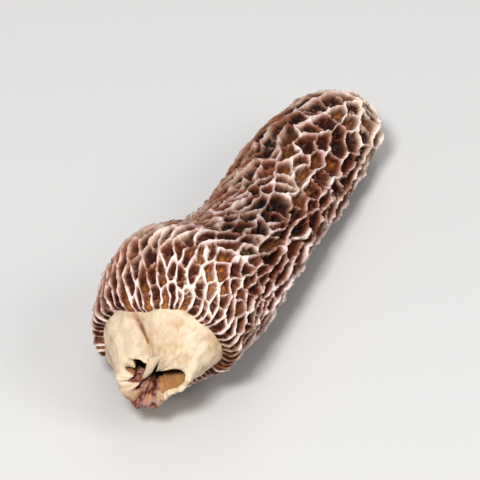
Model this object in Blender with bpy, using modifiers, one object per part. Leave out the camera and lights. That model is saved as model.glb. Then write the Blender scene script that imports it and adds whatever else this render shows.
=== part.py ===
"""A dried black morel, hollow, lying on its side.

Metres, +Z up. +X runs along the mushroom from the cut stem to the tip of the cap. The origin is on the
floor under the middle of the mushroom. One hollow profile is turned first, standing upright on its cut.
The turned body's points are then moved: pits are pressed into the cap, the stem is drawn into folds, and
the straight body is laid along its bent spine and flattened a little where it lies.

Run it with: blender --background --python part.py
"""

import math

import bpy
import numpy as np

MM = 0.001
NODE_NAME = "morel"

# Outlines as (distance along the spine, radius) in millimetres, from the tip down the outside and up the
# hollow. The cap's outline runs along its ridge crests.
CAP_OUTLINE = (
    (58.0, 0.0), (57.5, 2.2), (56.0, 4.2), (53.0, 5.6), (48.5, 6.1), (42.0, 6.4), (35.0, 6.7), (29.0, 6.9),
    (24.0, 7.3), (20.0, 8.0), (15.5, 8.9), (11.0, 9.1), (7.0, 8.7), (5.6, 7.8), (5.9, 6.7),
)
STEM_OUTLINE = ((5.9, 6.7), (4.4, 6.0), (2.4, 4.8), (0.8, 4.2), (0.15, 4.0))
RIM_OUTLINE = ((0.15, 4.0), (-0.05, 3.7), (0.2, 3.4))
HOLLOW_OUTLINE = (
    (0.2, 3.4), (2.4, 4.0), (6.0, 5.2), (12.0, 6.0), (20.0, 4.8), (29.0, 4.2), (38.0, 3.9), (47.0, 3.6),
    (52.5, 2.6), (54.5, 0.0),
)
CAP_RINGS, STEM_RINGS, RIM_RINGS, HOLLOW_RINGS = 53, 6, 2, 11
ON_STEM, IN_HOLLOW = -1.0, -2.0

# The net of ridges. Long ridges follow the mesh's own lines, so each pit is a whole number of steps and
# rings. The powers narrow the crests of the long ridges and of the ribs across them. The long ridges
# wander to each side as waves.
RIDGES = 18
STEPS_PER_RIDGE = 4
RINGS_PER_PIT = 4
RIDGE_POWER, RIB_POWER = 1.4, 2
RIB_SHARE = 0.75
WANDER = math.radians(7)
WANDER_PER_RING = 0.35
WANDER_TWIST = 2.0

# Pit depths in millimetres at shares of the cap's height, from its lower edge to its tip.
PIT_DEPTH = ((0.0, 0.0), (0.03, 1.0), (0.12, 1.5), (0.5, 1.6), (0.8, 1.8), (0.95, 1.5), (1.0, 0.0))

# Folds of the dried stem, each as a share of its radius: it is a little oval and three-sided, with one
# deep crease. They fade out inside the cap. Angles run from the left side over the top.
FOLDS_END_AT = 13.0
FOLDS_FADE = 1.3
OVAL, OVAL_ANGLE = 0.08, math.radians(-10)
TRIANGLE, TRIANGLE_ANGLE = 0.05, math.radians(40)
CREASE_DEPTH = 0.26
CREASE_ANGLE = math.radians(68)
CREASE_WIDTH = math.radians(22)

# The cut slants. Its upper side is cut back by this much for each millimetre of height, and its lower
# side stands out.
CUT_SLANT = 0.36
SLANT_ENDS_AT = 6.0

# Swellings and dents of the outside, each as its angle, its width round the body and its height along it.
# The cap swells out on its left, at its foot and again further up. Its foot and the stem are dented at
# the lower right. A swelling is less where the body is thinner than the full radius.
SWELLING_FULL_RADIUS = 3.0
LEFT_SWELLING = (
    math.radians(22), math.radians(55),
    (
        (0, 0.0), (4, 0.2), (7, -0.1), (10, 0.5), (14, 1.2), (17, 1.3), (19, 0.2), (22, -0.6), (28, 0.1),
        (33, 0.6), (38, 1.0), (45, 1.1), (50, 0.6), (54, 0.2), (58, 0.0),
    ),
)
RIGHT_DENT = (
    math.radians(228), math.radians(36),
    ((0, -0.2), (3, -0.6), (6, -1.1), (11, -1.0), (15, -0.4), (19, 0.0), (58, 0.0)),
)

# The spine: where the cut is, and the heading from +X and the climb, in degrees, at distances along it.
CUT_CENTRE = (-27.943, -2.491, 7.9)
SPINE_HEADING = ((0, 17), (5, 13), (11, 2), (16, -8), (22, -7), (28, 0), (40, 3), (50, -2), (58, -6))
SPINE_CLIMB = ((0, 3), (7, 2), (13, -2), (20, -6), (34, -5), (58, -3))
SPINE_ENDS = (-3.0, 59.0)
SPINE_STEPS = 1240

# The dried body is wider than it is tall. Where the cap lies on the floor its pits close up within a
# height.
WIDE, TALL = 1.04, 0.95
PRESSED_HEIGHT = 0.9

# How finely curves and tables are read, and the width of the window that rounds a table off.
CURVE_STEPS = 24
TABLE_STEPS = 400
ROUNDING_STEPS = 33


def clear_scene():
    """Removes every object of the scene that the script starts in."""
    for old in list(bpy.data.objects):
        bpy.data.objects.remove(old)


def smooth_line(points, count):
    """A smooth curve through the points, as count points at even distances along it."""
    points = np.array(points, float)
    ends = np.vstack([2 * points[0] - points[1], points, 2 * points[-1] - points[-2]])
    t = np.linspace(0, 1, CURVE_STEPS, endpoint=False)[:, None]
    pieces = []
    for a, b, c, d in zip(ends, ends[1:], ends[2:], ends[3:]):
        bend = (2 * a - 5 * b + 4 * c - d) * t**2 + (3 * b - a - 3 * c + d) * t**3
        pieces.append(b + 0.5 * ((c - a) * t + bend))
    fine = np.vstack([*pieces, points[-1:]])
    along = np.concatenate([[0], np.cumsum(np.linalg.norm(np.diff(fine, axis=0), axis=1))])
    places = np.linspace(0, along[-1], count)
    return np.column_stack([np.interp(places, along, fine[:, k]) for k in range(2)])


def read_table(table, places):
    """The values of a table of (place, value) pairs at the given places, rounded off between the pairs."""
    table = np.array(table, float)
    fine = np.linspace(table[0, 0], table[-1, 0], TABLE_STEPS)
    values = np.interp(fine, table[:, 0], table[:, 1])
    window = np.hanning(ROUNDING_STEPS)
    padded = np.pad(values, ROUNDING_STEPS // 2, mode="edge")
    return np.interp(places, fine, np.convolve(padded, window / window.sum(), mode="valid"))


def profile():
    """The half-section from the tip down the outside, round the cut and up the hollow, and each point's
    ring number: counted up from the cap's lower edge, or one number on the stem and one in the hollow."""
    cap = smooth_line(CAP_OUTLINE, CAP_RINGS)
    stem = smooth_line(STEM_OUTLINE, STEM_RINGS + 1)[1:]
    rim = smooth_line(RIM_OUTLINE, RIM_RINGS + 1)[1:]
    hollow = smooth_line(HOLLOW_OUTLINE, HOLLOW_RINGS + 1)[1:]
    line = np.vstack([cap, stem, rim, hollow])
    line[[0, -1], 1] = 0.0
    rings = np.full(len(line), ON_STEM)
    rings[:CAP_RINGS] = np.arange(CAP_RINGS)[::-1]
    rings[-HOLLOW_RINGS:] = IN_HOLLOW
    return line, rings


def turned_body():
    """The straight, smooth, hollow body, turned about Z with a Screw modifier and made a mesh."""
    line, rings = profile()
    mesh = bpy.data.meshes.new("morel_profile")
    edges = [(i, i + 1) for i in range(len(line) - 1)]
    mesh.from_pydata([(radius * MM, 0, axial * MM) for axial, radius in line], edges, [])
    mesh.attributes.new("ring", "FLOAT", "POINT").data.foreach_set("value", rings)
    source = bpy.data.objects.new("morel_profile", mesh)
    bpy.context.scene.collection.objects.link(source)
    screw = source.modifiers.new("Screw", "SCREW")
    screw.steps = screw.render_steps = RIDGES * STEPS_PER_RIDGE
    screw.use_merge_vertices = True
    screw.merge_threshold = 0.00001
    graph = bpy.context.evaluated_depsgraph_get()
    turned = bpy.data.meshes.new_from_object(source.evaluated_get(graph))
    bpy.data.objects.remove(source)
    return turned


def ridge_height(ring, angle):
    """How high the ridges stand at a place, from 0 on a pit's floor to 1 on a long ridge's crest."""
    column = angle * RIDGES / math.tau
    ridge = np.abs(np.cos(math.pi * column)) ** RIDGE_POWER
    # The ribs of every second column stand half a pit higher. The small number keeps rounding apart.
    half_pit = 0.5 * (np.floor(column + 1e-4) % 2)
    rib = np.abs(np.cos(math.pi * (ring / RINGS_PER_PIT + half_pit))) ** RIB_POWER
    return np.maximum(ridge, RIB_SHARE * rib)


def stem_fold(axial, angle):
    """The factor that draws the dried stem's radius in or out, on its outside and in its hollow alike."""
    fade = np.clip(1 - axial / FOLDS_END_AT, 0, 1) ** FOLDS_FADE
    lobes = OVAL * np.cos(2 * (angle - OVAL_ANGLE)) + TRIANGLE * np.cos(3 * (angle - TRIANGLE_ANGLE))
    crease = CREASE_DEPTH * np.exp(-(((angle - CREASE_ANGLE) / CREASE_WIDTH) ** 2))
    return 1 + fade * (lobes - crease)


def swelling(axial, angle):
    """How far the outside stands out beyond its turned outline, in millimetres."""
    total = np.zeros_like(axial)
    for centre, width, height in (LEFT_SWELLING, RIGHT_DENT):
        turn = (angle - centre + math.pi) % math.tau - math.pi
        total += read_table(height, axial) * np.exp(-((turn / width) ** 2))
    return total


def spine(axial):
    """The spine's points, in millimetres, and its directions at the given distances from the cut."""
    steps = np.linspace(*SPINE_ENDS, SPINE_STEPS)
    heading = np.radians(read_table(SPINE_HEADING, steps))
    climb = np.radians(read_table(SPINE_CLIMB, steps))
    level = np.cos(climb)
    direction = np.column_stack([np.cos(heading) * level, np.sin(heading) * level, np.sin(climb)])
    path = np.cumsum(direction, axis=0) * (steps[1] - steps[0])
    path += np.array(CUT_CENTRE) - path[np.argmin(np.abs(steps))]
    places = np.column_stack([np.interp(axial, steps, path[:, k]) for k in range(3)])
    along = np.column_stack([np.interp(axial, steps, direction[:, k]) for k in range(3)])
    return places, along / np.linalg.norm(along, axis=1)[:, None]


def laid_down(axial, radius, angle):
    """Points of the straight body as they lie along the bent spine, in millimetres."""
    height = radius * np.sin(angle)
    slant = CUT_SLANT * height * np.clip(1 - axial / SLANT_ENDS_AT, 0, 1)
    places, along = spine(axial + slant)
    side = np.cross((0.0, 0.0, 1.0), along)
    side /= np.linalg.norm(side, axis=1)[:, None]
    up = np.cross(along, side)
    return places + (radius * np.cos(angle) * WIDE)[:, None] * side + (height * TALL)[:, None] * up


def shape(mesh):
    """Moves the turned body's points to where they are on the dried mushroom. The hollow takes the
    outside's folds and dents but not its swellings, so that no wall gets thinner."""
    count = len(mesh.vertices)
    points = np.empty(count * 3, np.float32)
    mesh.vertices.foreach_get("co", points)
    points = points.reshape(-1, 3).astype(float) / MM
    ring = np.empty(count, np.float32)
    mesh.attributes["ring"].data.foreach_get("value", ring)
    axial = points[:, 2]
    angle = np.arctan2(points[:, 1], points[:, 0]) % math.tau
    on_cap = ring > ON_STEM
    crest = np.hypot(points[:, 0], points[:, 1]) * stem_fold(axial, angle)
    swell = swelling(axial, angle)
    swell = np.where(ring > IN_HOLLOW, swell, np.minimum(swell, 0.0))
    crest += swell * np.clip(crest / SWELLING_FULL_RADIUS, 0, 1)

    share = np.clip(ring, 0, None) / (CAP_RINGS - 1)
    clear_of_floor = np.clip(laid_down(axial, crest, angle)[:, 2] / PRESSED_HEIGHT, 0, 1)
    depth = np.where(on_cap, read_table(PIT_DEPTH, share), 0.0) * clear_of_floor
    radius = crest - depth * (1 - ridge_height(ring, angle))
    # The ridges start straight at the cap's lower edge and wander from a third of its height on.
    wave = np.sin(WANDER_PER_RING * ring + WANDER_TWIST * np.sin(angle)) * np.clip(3 * share, 0, 1)
    placed = laid_down(axial, radius, angle + np.where(on_cap, WANDER * wave, 0.0))
    placed[:, 2] = np.maximum(placed[:, 2], 0.0)
    mesh.vertices.foreach_set("co", (placed * MM).astype(np.float32).ravel())
    mesh.update()


def flesh_material():
    """Dark dried flesh."""
    material = bpy.data.materials.new("dried_flesh")
    material.use_nodes = True
    shader = material.node_tree.nodes["Principled BSDF"]
    shader.inputs["Base Color"].default_value = (0.30, 0.20, 0.15, 1)
    shader.inputs["Roughness"].default_value = 0.8
    shader.inputs["Metallic"].default_value = 0.0
    return material


def main():
    """Builds the mushroom as one object."""
    clear_scene()
    mesh = turned_body()
    shape(mesh)
    mesh.shade_smooth()
    mesh.materials.append(flesh_material())
    morel = bpy.data.objects.new(NODE_NAME, mesh)
    collection = bpy.data.collections.new("black_morel")
    bpy.context.scene.collection.children.link(collection)
    collection.objects.link(morel)


main()
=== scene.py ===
"""The finished surface of a dried black morel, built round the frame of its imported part.

The mushroom is one closed skin: the cap with its net of ridges and pits, the stub of stem with its folds,
the ragged cut, and the hollow inside. It is worked out on a straight body and then laid along the spine.

Lengths are in millimetres until a mesh is written. A place's axial is its distance from the cut along the
spine. Angles run round the body from its left side over the top to its right side. Arrays hold them in
radians, and the classes' own fields hold them in degrees.
"""

from __future__ import annotations

import functools
import itertools
import logging
import math
from dataclasses import dataclass, replace
from enum import IntEnum
from typing import Protocol

import bpy
import numpy as np
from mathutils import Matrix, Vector
from numpy.typing import NDArray


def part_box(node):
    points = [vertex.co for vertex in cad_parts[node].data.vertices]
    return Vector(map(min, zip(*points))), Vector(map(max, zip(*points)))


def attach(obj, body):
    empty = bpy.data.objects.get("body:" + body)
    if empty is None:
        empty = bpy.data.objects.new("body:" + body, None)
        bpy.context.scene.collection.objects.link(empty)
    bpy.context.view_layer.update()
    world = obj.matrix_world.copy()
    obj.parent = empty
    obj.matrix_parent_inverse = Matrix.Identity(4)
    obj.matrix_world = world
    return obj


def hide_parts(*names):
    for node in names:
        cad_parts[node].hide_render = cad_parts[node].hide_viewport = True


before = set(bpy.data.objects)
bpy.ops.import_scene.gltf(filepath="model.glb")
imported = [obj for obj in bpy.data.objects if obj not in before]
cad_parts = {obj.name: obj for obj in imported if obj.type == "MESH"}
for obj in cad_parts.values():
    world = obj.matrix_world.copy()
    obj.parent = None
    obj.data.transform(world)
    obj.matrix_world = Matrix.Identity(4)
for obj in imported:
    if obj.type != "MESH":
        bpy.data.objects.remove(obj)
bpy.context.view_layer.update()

Array = NDArray[np.float64]
Indices = NDArray[np.int64]
Pair = tuple[float, float]
Triple = tuple[float, float, float]
Table = tuple[Pair, ...]

MM = 0.001
TURN = math.tau
LOG = logging.getLogger("black_morel")


class Region(IntEnum):
    """The stretches of the skin, in the order in which its profile passes them."""

    CAP = 0
    STEM = 1
    RIM = 2
    HOLLOW = 3


# --- Shared curves and noise ---

# How many steps each span of a curve is first drawn in.
STEPS_PER_SPAN = 24
# How many places a table is joined up on, and how many of them are averaged to round it off.
TABLE_PLACES = 400
TABLE_ROUNDING = 33
# How large a sine is made, so that its decimals look drawn by chance.
SCATTER = 43758.5453


def even_line(points: Table, count: int) -> Array:
    """A smooth curve through points, read at even distances along it.

    Between two points the curve is the Catmull-Rom cubic, whose slope at each point is half the way from the
    point before to the point after.

    Args:
        points: The (axial, radius) pairs that the curve passes through.
        count: How many points to return.

    Returns:
        An array of count rows of (axial, radius).
    """
    knots = np.array(points, float)
    ends = np.vstack([2 * knots[0] - knots[1], knots, 2 * knots[-1] - knots[-2]])
    t = np.linspace(0.0, 1.0, STEPS_PER_SPAN, endpoint=False)[:, None]
    a, b, c, d = (ends[k : len(ends) - 3 + k, None, :] for k in range(4))
    cubic = b + 0.5 * ((c - a) * t + (2 * a - 5 * b + 4 * c - d) * t**2 + (3 * b - a - 3 * c + d) * t**3)
    fine = np.vstack([cubic.reshape(-1, 2), knots[-1:]])
    along = np.concatenate([[0.0], np.cumsum(np.linalg.norm(np.diff(fine, axis=0), axis=1))])
    places = np.linspace(0.0, along[-1], count)
    return np.column_stack([np.interp(places, along, fine[:, k]) for k in range(2)])


def read_table(table: Table, places: Array) -> Array:
    """The values of a table of (place, value) pairs, rounded off between the pairs.

    The table is joined up with straight lines on many places, and each is replaced by the mean of its
    neighbours under a raised cosine. Past the table's ends its last values hold.

    Args:
        table: The pairs, in rising order of place.
        places: Where to read the table.

    Returns:
        The value at each place.
    """
    pairs = np.array(table, float)
    fine = np.linspace(pairs[0, 0], pairs[-1, 0], TABLE_PLACES)
    kernel = np.hanning(TABLE_ROUNDING)
    padded = np.pad(np.interp(fine, pairs[:, 0], pairs[:, 1]), TABLE_ROUNDING // 2, mode="edge")
    return np.interp(places, fine, np.convolve(padded, kernel / kernel.sum(), mode="valid"))


def ring_places(angle: Array, along: float | Array = 0.0) -> Array:
    """Places to read noise at, so that it closes round the body: the cosine, the sine and a way along."""
    return np.column_stack([np.cos(angle), np.sin(angle), np.broadcast_to(along, angle.shape)])


def scattered(values: Array) -> Array:
    """A number from 0 to 1 for each value that looks drawn by chance: the decimals of a large sine."""
    return np.abs(np.sin(values) * SCATTER) % 1.0


class Readable(Protocol):
    """A bell, a spot, a noise or wrinkles."""

    def at(self, places: Array, /) -> Array:
        """Reads it at places."""


def summed(parts: tuple[Readable, ...], places: Array) -> Array:
    """The sum of what several bells, spots, noises or wrinkles say at the same places."""
    return sum(part.at(places) for part in parts)


@dataclass(frozen=True)
class Slope:
    """An even rise along a line, from low at its foot to high at its top: by 3t^2 - 2t^3 of the share t."""

    foot: float
    top: float
    low: float = 0.0
    high: float = 1.0

    def at(self, values: Array) -> Array:
        """Reads the slope."""
        t = np.clip((values - self.foot) / (self.top - self.foot), 0.0, 1.0)
        return self.low + (self.high - self.low) * t * t * (3.0 - 2.0 * t)


@dataclass(frozen=True)
class Band:
    """A stretch of a line that rises evenly from start to full and falls from hold to end."""

    start: float
    full: float
    hold: float
    end: float

    def at(self, values: Array) -> Array:
        """Reads the band, from 0 outside it to 1 inside."""
        return Slope(self.start, self.full).at(values) * Slope(self.end, self.hold).at(values)


@dataclass(frozen=True)
class Hump:
    """A bell along a line: e to the minus square of the distance from its middle over its reach."""

    middle: float
    reach: float

    def at(self, values: Array) -> Array:
        """Reads the hump."""
        return np.exp(-(((values - self.middle) / self.reach) ** 2))


@dataclass(frozen=True)
class Bell:
    """A bell round the body: height times e to the minus square of the turn to its middle over its width."""

    middle: float
    width: float
    height: float = 1.0

    def at(self, angle: Array) -> Array:
        """Reads the bell."""
        turn = (angle - math.radians(self.middle) + math.pi) % TURN - math.pi
        return self.height * np.exp(-((turn / math.radians(self.width)) ** 2))


@dataclass(frozen=True)
class Noise:
    """Smooth noise in space, with features of about its size, that swings round its level by its strength.

    Each of its layers is half as large and half as strong as the one before.
    """

    seed: int
    size: float | Triple = 1.0
    strength: float = 1.0
    layers: int = 1
    level: float = 0.0

    CORNERS = 256
    LOUDNESS = 1.7
    LAYERS_APART = 17.3

    def at(self, points: Array) -> Array:
        """Reads the noise: level + strength times the sum of the layers over that of their strengths.

        Args:
            points: Places, one row of three each.

        Returns:
            The noise at each place.
        """
        sized = points / self.size
        layers = range(self.layers)
        total = sum(0.5**k * self._layer(sized * 2.0**k + self.LAYERS_APART * k) for k in layers)
        return self.level + self.strength * total / (2.0 - 0.5 ** (self.layers - 1))

    def _layer(self, points: Array) -> Array:
        """Reads one layer: each cell corner's unit vector dotted with the way from it, under quintic weights.

        Args:
            points: Places, one row of three each.

        Returns:
            The layer at each place.
        """
        random = np.random.default_rng(self.seed)
        order = random.permutation(self.CORNERS)
        ways = random.normal(size=(self.CORNERS, 3))
        ways /= np.linalg.norm(ways, axis=1)[:, None]
        cell = np.floor(points).astype(int)
        inside = points - cell
        fade = inside**3 * (inside * (inside * 6.0 - 15.0) + 10.0)
        last = self.CORNERS - 1
        total = np.zeros(len(points))
        for corner in itertools.product((0, 1), repeat=3):
            at = (cell + corner) & last
            pick = order[(order[(order[at[:, 0]] + at[:, 1]) & last] + at[:, 2]) & last]
            weight = np.prod(np.where(corner, fade, 1.0 - fade), axis=1)
            total += weight * np.einsum("ij,ij->i", ways[pick], inside - corner)
        return self.LOUDNESS * total


@dataclass(frozen=True)
class Wrinkles:
    """Thin wrinkles, or creases where the height is negative: the height times (1 - |noise|)^sharpness."""

    noise: Noise
    sharpness: int
    height: float

    def at(self, points: Array) -> Array:
        """Reads the wrinkles."""
        return self.height * (1.0 - np.abs(self.noise.at(points))) ** self.sharpness


# --- The straight body and the spine ---


@dataclass(frozen=True)
class Places:
    """Places on the straight body: how far each is from the cut and from the axis, and its angle."""

    axial: Array
    radius: Array
    angle: Array

    def points(self) -> Array:
        """The places as rows of (across, up, axial)."""
        across, up = self.radius * np.cos(self.angle), self.radius * np.sin(self.angle)
        return np.column_stack([across, up, self.axial])

    def moved(self, along: Array) -> Places:
        """The places moved along the body."""
        return replace(self, axial=self.axial + along)

    def widened(self, outwards: Array | float) -> Places:
        """The places moved out from the axis."""
        return replace(self, radius=self.radius + outwards)

    def scaled(self, factor: Array) -> Places:
        """The places at so many times their radius."""
        return replace(self, radius=self.radius * factor)

    def ring(self, length: float = math.inf) -> Array:
        """The places' directions and axials, for noise that closes round the body and is that long on it."""
        return ring_places(self.angle, self.axial / length)


class ProfileLine:
    """A part of the half-section as a fine smooth line, read by the distance along it."""

    POINTS = 2400

    def __init__(self, knots: Table) -> None:
        """Draws the line through its knots.

        Args:
            knots: The (axial, radius) pairs that it passes through.
        """
        self.points = even_line(knots, self.POINTS)
        slope = np.gradient(self.points, axis=0)
        self.slope = slope / np.linalg.norm(slope, axis=1)[:, None]
        self.length = float(np.linalg.norm(np.diff(self.points, axis=0), axis=1).sum())
        self.distance = np.linspace(0.0, self.length, self.POINTS)

    def read(self, along: Array, angle: Array) -> tuple[Places, Array, Array]:
        """Reads the line as it is turned round the axis.

        Args:
            along: Distances along it.
            angle: An angle for each.

        Returns:
            The places, and the axial and radius parts of the line's unit slope there.
        """
        columns = np.hstack([self.points, self.slope]).T
        axial, radius, *slope = (np.interp(along, self.distance, column) for column in columns)
        return Places(axial, radius, angle), *slope


@dataclass(frozen=True)
class Stretch:
    """A stretch of the skin: where it starts and ends along its line, and how fine it is.

    One that ends at infinity runs to the end of its line.
    """

    start: float
    end: float
    rings: int
    around: int

    def grid(self, line: ProfileLine) -> tuple[Array, Array]:
        """Lays a grid of points over the stretch, ring after ring, without the ring that it starts from.

        Args:
            line: The line that the rings lie along.

        Returns:
            The distance along the line and the angle of every point.
        """
        rings = np.linspace(self.start, min(self.end, line.length), self.rings + 1)[1:]
        steps = np.arange(self.around) * TURN / self.around
        return np.repeat(rings, self.around), np.tile(steps, self.rings)

    def places(self, line: ProfileLine) -> Places:
        """The grid's places on the line as it is turned."""
        return line.read(*self.grid(line))[0]


@dataclass(frozen=True)
class Outline:
    """The half-section that the straight body is turned from, with the cap's line along its ridge crests."""

    cap: Table = (
        (58.0, 0.0), (57.5, 2.2), (56.0, 4.2), (53.0, 5.6), (48.5, 6.1), (42.0, 6.4), (35.0, 6.7),
        (29.0, 6.9), (24.0, 7.3), (20.0, 8.0), (15.5, 8.9), (11.0, 9.1), (7.0, 8.7), (5.6, 7.8), (5.9, 6.7),
    )
    stem: Table = ((5.9, 6.7), (4.4, 6.0), (2.4, 4.8), (0.8, 4.2), (0.15, 4.0))
    rim: Table = ((0.15, 4.0), (-0.05, 3.7), (0.2, 3.4))
    hollow: Table = (
        (0.2, 3.4), (2.4, 4.0), (6.0, 5.2), (12.0, 6.0), (20.0, 4.8), (29.0, 4.2), (38.0, 3.9), (47.0, 3.6),
        (52.5, 2.6), (54.5, 0.0),
    )


@dataclass(frozen=True)
class Spine:
    """The line that the straight body is laid along, and how the body is flattened where it lies.

    The heading and the climb are in degrees by axial. The line is worked out in even steps.
    """

    cut_from_corner: Triple = (1.6271, 7.4172, 7.9)
    heading: Table = ((0, 17), (5, 13), (11, 2), (16, -8), (22, -7), (28, 0), (40, 3), (50, -2), (58, -6))
    climb: Table = ((0, 3), (7, 2), (13, -2), (20, -6), (34, -5), (58, -3))
    starts_at: float = -3.0
    ends_at: float = 59.0
    steps: int = 1240
    cut_slant: float = 0.36
    slant_ends_at: float = 6.0
    wide: float = 1.04
    tall: float = 0.95
    floor_softness: float = 0.12

    def frames(self, axial: Array) -> tuple[Array, Array]:
        """The spine's points and unit directions.

        The direction turns by the heading about +Z and rises by the climb, and the points are its running
        sum. The middle of the cut is put where it belongs, measured from the part's lowest corner.

        Args:
            axial: Distances from the cut.

        Returns:
            The points and the directions, one row of three each.
        """
        steps = np.linspace(self.starts_at, self.ends_at, self.steps)
        heading = np.radians(read_table(self.heading, steps))
        climb = np.radians(read_table(self.climb, steps))
        direction = np.column_stack(
            [np.cos(heading) * np.cos(climb), np.sin(heading) * np.cos(climb), np.sin(climb)]
        )
        path = np.cumsum(direction, axis=0) * (steps[1] - steps[0])
        cut_centre = np.array(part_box("morel")[0]) / MM + self.cut_from_corner
        path += cut_centre - path[np.argmin(np.abs(steps))]
        points = np.column_stack([np.interp(axial, steps, path[:, k]) for k in range(3)])
        along = np.column_stack([np.interp(axial, steps, direction[:, k]) for k in range(3)])
        return points, along / np.linalg.norm(along, axis=1)[:, None]

    def lay(self, places: Places) -> Array:
        """Lays places of the straight body along the spine.

        A place stands off the spine by its radius, sideways by the cosine of its angle and upwards by the
        sine. Near the cut its height also moves it along, which slants the cut. Below the floor's softness s,
        a height h becomes s e^(h/s - 1), so what would sink is pressed flat.

        Args:
            places: The places.

        Returns:
            The points in the part's frame, in millimetres.
        """
        height = places.radius * np.sin(places.angle)
        slant = self.cut_slant * height * np.clip(1.0 - places.axial / self.slant_ends_at, 0.0, 1.0)
        middles, along = self.frames(places.axial + slant)
        side = np.cross((0.0, 0.0, 1.0), along)
        side /= np.linalg.norm(side, axis=1)[:, None]
        up = np.cross(along, side)
        across = places.radius * np.cos(places.angle) * self.wide
        laid = middles + across[:, None] * side + (height * self.tall)[:, None] * up
        low = laid[:, 2] < self.floor_softness
        pressed = self.floor_softness * np.exp(np.minimum(laid[:, 2] / self.floor_softness - 1.0, 0.0))
        laid[:, 2] = np.where(low, pressed, laid[:, 2])
        return laid


# --- The cap's net of ridges ---


@dataclass(frozen=True)
class NetReading:
    """What the net of ridges says at each of a set of places: one row or number for each."""

    height: Array
    distance: Array
    across: Array
    cell: Array


@dataclass(frozen=True)
class RidgeNet:
    """The net of ridges: the borders between cells that grow round seeds spread over the cap.

    Space is shrunk along the mushroom before distances are compared, which draws the cells out lengthwise.
    """

    rows: tuple[tuple[float, int], ...] = (
        (6.0, 52), (9.2, 52), (12.4, 50), (15.6, 46), (18.6, 39), (21.5, 32), (24.2, 28), (26.9, 25),
        (29.6, 22), (32.3, 20), (35.2, 19), (38.2, 18), (41.2, 18), (44.1, 17), (46.9, 16), (49.6, 15),
        (52.1, 13), (54.3, 11), (56.1, 8), (57.4, 4), (58.0, 1),
    )
    tip: float = 58.0
    stagger: float = 0.25
    jitter: float = 0.31
    merged: float = 0.09
    merged_range: Pair = (20.0, 50.0)
    fine_seeds: int = 60
    fine_range: Pair = (24.0, 54.0)
    fine_side: Pair = (24.0, 30.0)
    seed: int = 11

    shrink: Table = ((0, 0.36), (16, 0.38), (23, 0.52), (30, 0.62), (50, 0.68), (55, 1.0), (60, 1.0))
    shrink_range: Pair = (-2.0, 60.0)
    shrink_steps: int = 1240
    fan_out: Table = ((5, 0.0), (6, 0.0), (13, 0.36), (17, 0.32), (26, 0.0), (58, 0.0))
    fan_side: Bell = Bell(52.0, 85.0)
    wide_bends: tuple[Noise, ...] = tuple(Noise(21 + k, (3.4, 3.4, 4.4)) for k in range(3))
    fine_bends: tuple[Noise, ...] = tuple(Noise(31 + k, 1.35, layers=2) for k in range(3))
    wide_strength: Slope = Slope(12.0, 26.0, 0.28, 0.78)
    fine_strength: Slope = Slope(12.0, 26.0, 0.20, 0.42)

    half_width: Table = ((5, 0.18), (16, 0.20), (26, 0.25), (50, 0.26), (58, 0.24))
    width_noise: Noise = Noise(25, 1.9, 0.38, layers=2, level=1.0)
    section_power: float = 3.4
    join_power: int = 6
    lengthwise_crest: Pair = (1.0, 0.12)
    rung_crest: Pair = (0.86, 0.42)
    neighbours: int = 7
    pair_key: Pair = (12.9898, 78.233)
    cell_key: float = 37.719
    block: int = 6000

    def shrunk(self, points: Array) -> Array:
        """Moves points of the straight body into the space in which the cells are round.

        The new third coordinate is the running sum of the shrink from the cut.

        Args:
            points: Rows of (across, up, axial).

        Returns:
            The same rows with the last coordinate shrunk.
        """
        steps = np.linspace(*self.shrink_range, self.shrink_steps)
        total = np.cumsum(read_table(self.shrink, steps)) * (steps[1] - steps[0])
        return np.column_stack([points[:, :2], np.interp(points[:, 2], steps, total)])

    def seeds(self, outline: ProfileLine) -> Array:
        """The seeds, row by row round the cap, every second one moved along and all of them moved a little.

        That puts the cells in columns, like ladders side by side, between long ridges with short rungs. Some
        seeds are left out, which merges cells, and a scatter of more seeds makes finer cells on one side.

        Args:
            outline: The cap's outline, from the tip down.

        Returns:
            The seeds on the straight body's surface, rows of (across, up, axial).
        """
        random = np.random.default_rng(self.seed)
        levels = np.array([level for level, _ in self.rows])
        down = outline.points[: np.argmax(outline.points[:, 1]) + 1]
        fine_levels = random.uniform(*self.fine_range, self.fine_seeds)
        fine_angles = np.radians(random.normal(*self.fine_side, self.fine_seeds))
        found = []
        for k, (level, count) in enumerate(self.rows):
            gap = abs(levels[max(k - 1, 0)] - levels[min(k + 1, len(levels) - 1)]) / 2.0
            step = TURN / count
            angle = (np.arange(count) + random.uniform(-self.jitter, self.jitter, count)) * step
            stagger = self.stagger * (1.0 - 2.0 * (np.arange(count) % 2))
            axial = level + gap * (stagger + random.uniform(-self.jitter, self.jitter, count))
            mergeable = self.merged_range[0] < level < self.merged_range[1]
            kept = random.random(count) >= self.merged * mergeable
            found.append(np.column_stack([angle, np.minimum(axial, self.tip)])[kept])
        found.append(np.column_stack([fine_angles, fine_levels]))
        angle, axial = np.vstack(found).T
        return Places(axial, np.interp(-axial, -down[:, 0], down[:, 1]), angle).points()

    def warped(self, points: Array) -> Array:
        """Bends the net: every place reads it a little to one side, by wide and fine noise.

        On the bulge at the cap's foot the net is also turned about the spine, so that its ridges fan out to
        the left on their way up and then lean back over the shoulder.

        Args:
            points: Rows of (across, up, axial).

        Returns:
            The places to read instead.
        """
        wide = np.array([noise.at(points) for noise in self.wide_bends]) * self.wide_strength.at(points[:, 2])
        fine = np.array([noise.at(points) for noise in self.fine_bends]) * self.fine_strength.at(points[:, 2])
        angle = np.arctan2(points[:, 1], points[:, 0])
        turn = read_table(self.fan_out, points[:, 2]) * self.fan_side.at(angle)
        sine, cosine = np.sin(turn), np.cos(turn)
        across, up, along = points.T + wide + fine
        return np.column_stack([across * cosine - up * sine, across * sine + up * cosine, along])

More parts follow.
